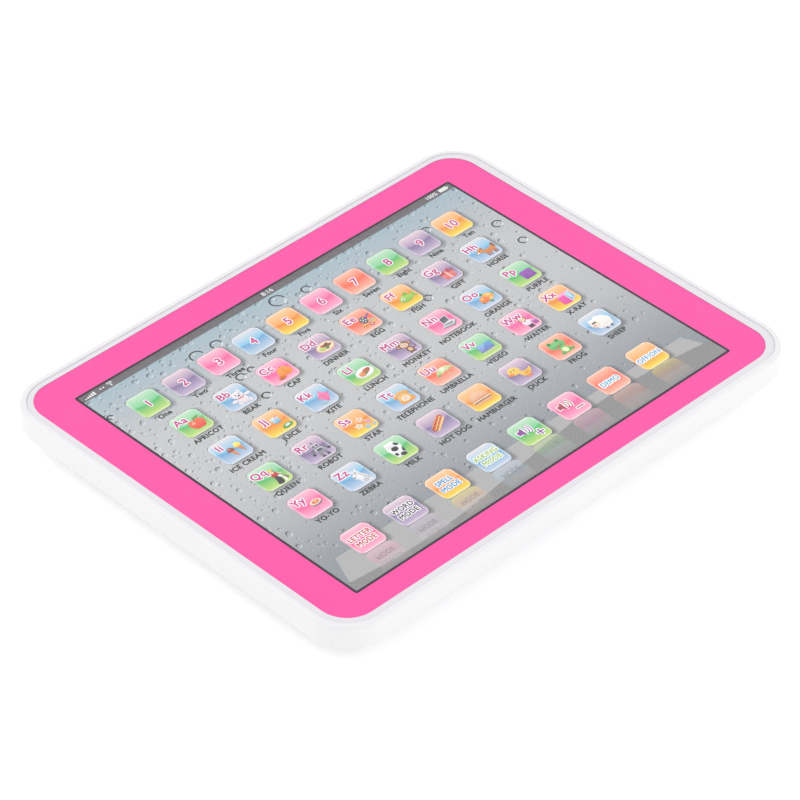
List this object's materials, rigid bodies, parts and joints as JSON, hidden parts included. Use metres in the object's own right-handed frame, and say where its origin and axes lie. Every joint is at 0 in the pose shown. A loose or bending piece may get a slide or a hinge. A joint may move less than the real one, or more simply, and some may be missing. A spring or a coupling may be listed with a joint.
{
  "type": "toy tablet",
  "caption": "Child's battery-powered learning tablet: white case, clear front film over printed touch keys, rear battery door and speaker.",
  "frame": {"origin": "centre of the flat back, on the surface the toy lies on", "axes": "+X along the length, +Y up the printed screen, +Z out of the front"},
  "size_m": [0.2418, 0.1868, 0.018],
  "materials": {
    "white_case": "glossy white moulded plastic",
    "clear_film": "clear glossy film",
    "pink_print": "bright pink print under gloss film",
    "screen_print": "grey printed picture with water drops",
    "key_print": "colour printed key",
    "guide_plastic": "matt white sheet",
    "membrane": "milky polyester sheet with silver tracks",
    "membrane_spacer": "milky spacer sheet",
    "ribbon": "pale ribbon with dark tracks",
    "connector_plastic": "white nylon",
    "board": "green coated circuit board",
    "chip_resin": "black potting resin",
    "components": "small electronic parts",
    "steel": "zinc plated steel",
    "spring_steel": "nickel plated spring steel",
    "magnet": "dark ferrite",
    "speaker_paper": "black paper cone",
    "surround_foam": "black foam surround",
    "cell_jacket": "printed cell jacket",
    "lead_plastic": "soft plastic insulation",
    "door_plastic": "white moulded plastic"
  },
  "bodies": {
    "case": {"rear_casing": "white_case", "front_frame": "white_case", "front_film": "clear_film", "border_print": "pink_print", "screen_print": "screen_print", "key_guide": "guide_plastic", "membrane_upper": "membrane", "membrane_spacer": "membrane_spacer", "membrane_lower": "membrane", "membrane_tail": "ribbon", "tail_connector": "connector_plastic", "main_board": "board", "sound_chip": "chip_resin", "board_components": "components", "board_screws": "steel", "casing_screws": "steel", "speaker_screws": "steel", "speaker_basket": "steel", "speaker_surround": "surround_foam", "speaker_magnet": "magnet", "speaker_yoke": "steel", "speaker_clamp": "guide_plastic", "speaker_leads": "lead_plastic", "battery_leads": "lead_plastic", "contact_negative": "spring_steel", "contact_positive": "spring_steel", "contact_bridge_1": "spring_steel", "contact_bridge_2": "spring_steel", "battery_cell_1": "cell_jacket", "battery_cell_2": "cell_jacket", "battery_cell_3": "cell_jacket"},
    "battery_door": {"battery_door": "door_plastic"},
    "screw_retainer": {"screw_retainer": "steel"},
    "door_screw": {"door_screw": "steel"},
    "speaker_cone": {"speaker_cone": "speaker_paper"},
    "number_key_1": {"number_key_1": "key_print"},
    "number_key_2": {"number_key_2": "key_print"},
    "number_key_3": {"number_key_3": "key_print"},
    "number_key_4": {"number_key_4": "key_print"},
    "number_key_5": {"number_key_5": "key_print"},
    "number_key_6": {"number_key_6": "key_print"},
    "number_key_7": {"number_key_7": "key_print"},
    "number_key_8": {"number_key_8": "key_print"},
    "number_key_9": {"number_key_9": "key_print"},
    "number_key_10": {"number_key_10": "key_print"},
    "picture_keys_row_1": {"picture_keys_row_1": "key_print"},
    "picture_keys_row_2": {"picture_keys_row_2": "key_print"},
    "picture_keys_row_3": {"picture_keys_row_3": "key_print"},
    "picture_keys_row_4": {"picture_keys_row_4": "key_print"},
    "letter_mode_key": {"letter_mode_key": "key_print"},
    "word_mode_key": {"word_mode_key": "key_print"},
    "spell_mode_key": {"spell_mode_key": "key_print"},
    "asking_mode_key": {"asking_mode_key": "key_print"},
    "volume_up_key": {"volume_up_key": "key_print"},
    "volume_down_key": {"volume_down_key": "key_print"},
    "demo_key": {"demo_key": "key_print"},
    "power_key": {"power_key": "key_print"}
  },
  "joints": [
    {"name": "number_key_1_press", "type": "slide", "parent": "case", "child": "number_key_1", "axis": [0, 0, -1], "range_m": [0, 0.0003], "stiffness_N_per_m": 3000},
    {"name": "number_key_2_press", "type": "slide", "parent": "case", "child": "number_key_2", "axis": [0, 0, -1], "range_m": [0, 0.0003], "stiffness_N_per_m": 3000},
    {"name": "number_key_3_press", "type": "slide", "parent": "case", "child": "number_key_3", "axis": [0, 0, -1], "range_m": [0, 0.0003], "stiffness_N_per_m": 3000},
    {"name": "number_key_4_press", "type": "slide", "parent": "case", "child": "number_key_4", "axis": [0, 0, -1], "range_m": [0, 0.0003], "stiffness_N_per_m": 3000},
    {"name": "number_key_5_press", "type": "slide", "parent": "case", "child": "number_key_5", "axis": [0, 0, -1], "range_m": [0, 0.0003], "stiffness_N_per_m": 3000},
    {"name": "number_key_6_press", "type": "slide", "parent": "case", "child": "number_key_6", "axis": [0, 0, -1], "range_m": [0, 0.0003], "stiffness_N_per_m": 3000},
    {"name": "number_key_7_press", "type": "slide", "parent": "case", "child": "number_key_7", "axis": [0, 0, -1], "range_m": [0, 0.0003], "stiffness_N_per_m": 3000},
    {"name": "number_key_8_press", "type": "slide", "parent": "case", "child": "number_key_8", "axis": [0, 0, -1], "range_m": [0, 0.0003], "stiffness_N_per_m": 3000},
    {"name": "number_key_9_press", "type": "slide", "parent": "case", "child": "number_key_9", "axis": [0, 0, -1], "range_m": [0, 0.0003], "stiffness_N_per_m": 3000},
    {"name": "number_key_10_press", "type": "slide", "parent": "case", "child": "number_key_10", "axis": [0, 0, -1], "range_m": [0, 0.0003], "stiffness_N_per_m": 3000},
    {"name": "picture_row_1_press", "type": "slide", "parent": "case", "child": "picture_keys_row_1", "axis": [0, 0, -1], "range_m": [0, 0.0003], "stiffness_N_per_m": 3000},
    {"name": "picture_row_2_press", "type": "slide", "parent": "case", "child": "picture_keys_row_2", "axis": [0, 0, -1], "range_m": [0, 0.0003], "stiffness_N_per_m": 3000},
    {"name": "picture_row_3_press", "type": "slide", "parent": "case", "child": "picture_keys_row_3", "axis": [0, 0, -1], "range_m": [0, 0.0003], "stiffness_N_per_m": 3000},
    {"name": "picture_row_4_press", "type": "slide", "parent": "case", "child": "picture_keys_row_4", "axis": [0, 0, -1], "range_m": [0, 0.0003], "stiffness_N_per_m": 3000},
    {"name": "letter_mode_key_press", "type": "slide", "parent": "case", "child": "letter_mode_key", "axis": [0, 0, -1], "range_m": [0, 0.0003], "stiffness_N_per_m": 3000},
    {"name": "word_mode_key_press", "type": "slide", "parent": "case", "child": "word_mode_key", "axis": [0, 0, -1], "range_m": [0, 0.0003], "stiffness_N_per_m": 3000},
    {"name": "spell_mode_key_press", "type": "slide", "parent": "case", "child": "spell_mode_key", "axis": [0, 0, -1], "range_m": [0, 0.0003], "stiffness_N_per_m": 3000},
    {"name": "asking_mode_key_press", "type": "slide", "parent": "case", "child": "asking_mode_key", "axis": [0, 0, -1], "range_m": [0, 0.0003], "stiffness_N_per_m": 3000},
    {"name": "volume_up_key_press", "type": "slide", "parent": "case", "child": "volume_up_key", "axis": [0, 0, -1], "range_m": [0, 0.0003], "stiffness_N_per_m": 3000},
    {"name": "volume_down_key_press", "type": "slide", "parent": "case", "child": "volume_down_key", "axis": [0, 0, -1], "range_m": [0, 0.0003], "stiffness_N_per_m": 3000},
    {"name": "demo_key_press", "type": "slide", "parent": "case", "child": "demo_key", "axis": [0, 0, -1], "range_m": [0, 0.0003], "stiffness_N_per_m": 3000},
    {"name": "power_key_press", "type": "slide", "parent": "case", "child": "power_key", "axis": [0, 0, -1], "range_m": [0, 0.0003], "stiffness_N_per_m": 3000},
    {"name": "speaker_cone_stroke", "type": "slide", "parent": "case", "child": "speaker_cone", "axis": [0, 0, -1], "range_m": [-0.0004, 0.0004], "stiffness_N_per_m": 1500},
    {"name": "battery_door_swing", "type": "hinge", "parent": "case", "child": "battery_door", "pos_m": [-0.0295, -0.03, 0.0012], "axis": [0, 1, 0], "range_deg": [0, 80]},
    {"name": "door_screw_travel", "type": "slide", "parent": "battery_door", "child": "screw_retainer", "axis": [0, 0, -1], "range_m": [0, 0.0025]},
    {"name": "door_screw_turn", "type": "hinge", "parent": "screw_retainer", "child": "door_screw", "pos_m": [0.0325, -0.03, 0.002], "axis": [0, 0, -1], "range_deg": [0, 1130]}
  ],
  "couplings": [
    {"joint": "door_screw_turn", "follows": "door_screw_travel", "rad_per_m": 7854}
  ]
}
